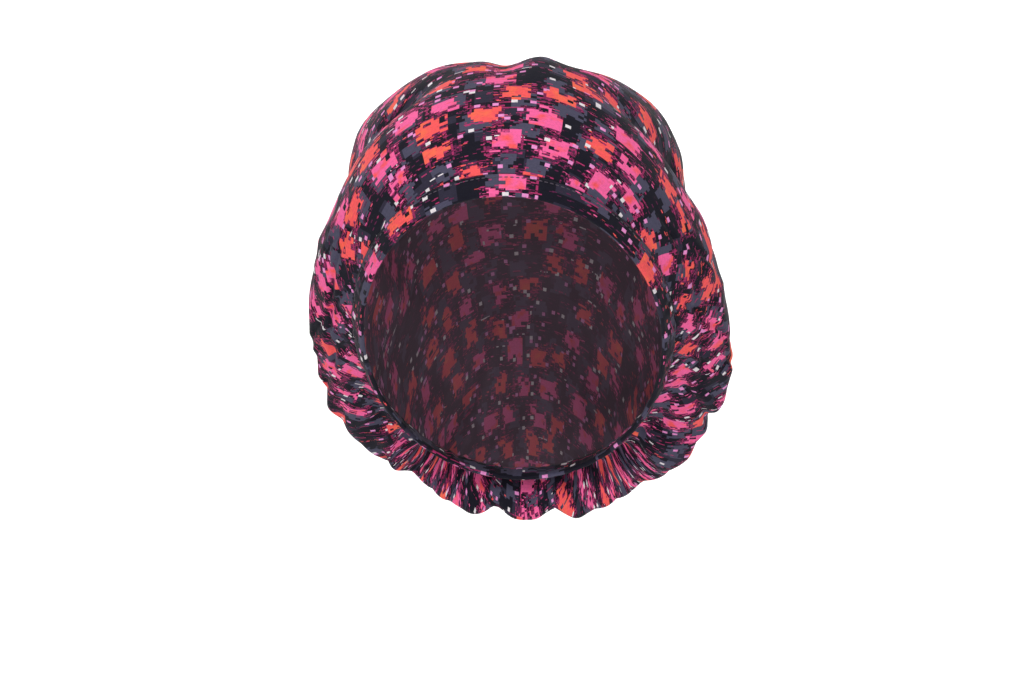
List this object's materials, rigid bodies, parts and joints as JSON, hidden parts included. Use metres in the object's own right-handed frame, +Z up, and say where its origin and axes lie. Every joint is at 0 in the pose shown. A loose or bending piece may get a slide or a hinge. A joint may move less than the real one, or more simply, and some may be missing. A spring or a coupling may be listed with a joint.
{
  "type": "scrub cap",
  "caption": "Gathered cloth scrub cap as worn: a full soft bag over the top and back of the head, drawn in at the sides and nape to a narrow folded casing round the opening.",
  "frame": {"origin": "middle of the tilted head opening, between the casing's front and back and its two sides, on the plane of its face edge", "axes": "+Z up as the cap is worn, -Y the way that the face looks, +X the wearer's left"},
  "size_m": [0.2134, 0.2193, 0.2348],
  "materials": {
    "printed_cotton": "matt woven cotton, printed all over",
    "casing_cotton": "matt woven cotton, folded and stitched"
  },
  "bodies": {
    "root": {"crown": "printed_cotton", "rim_casing": "casing_cotton"}
  },
  "joints": []
}
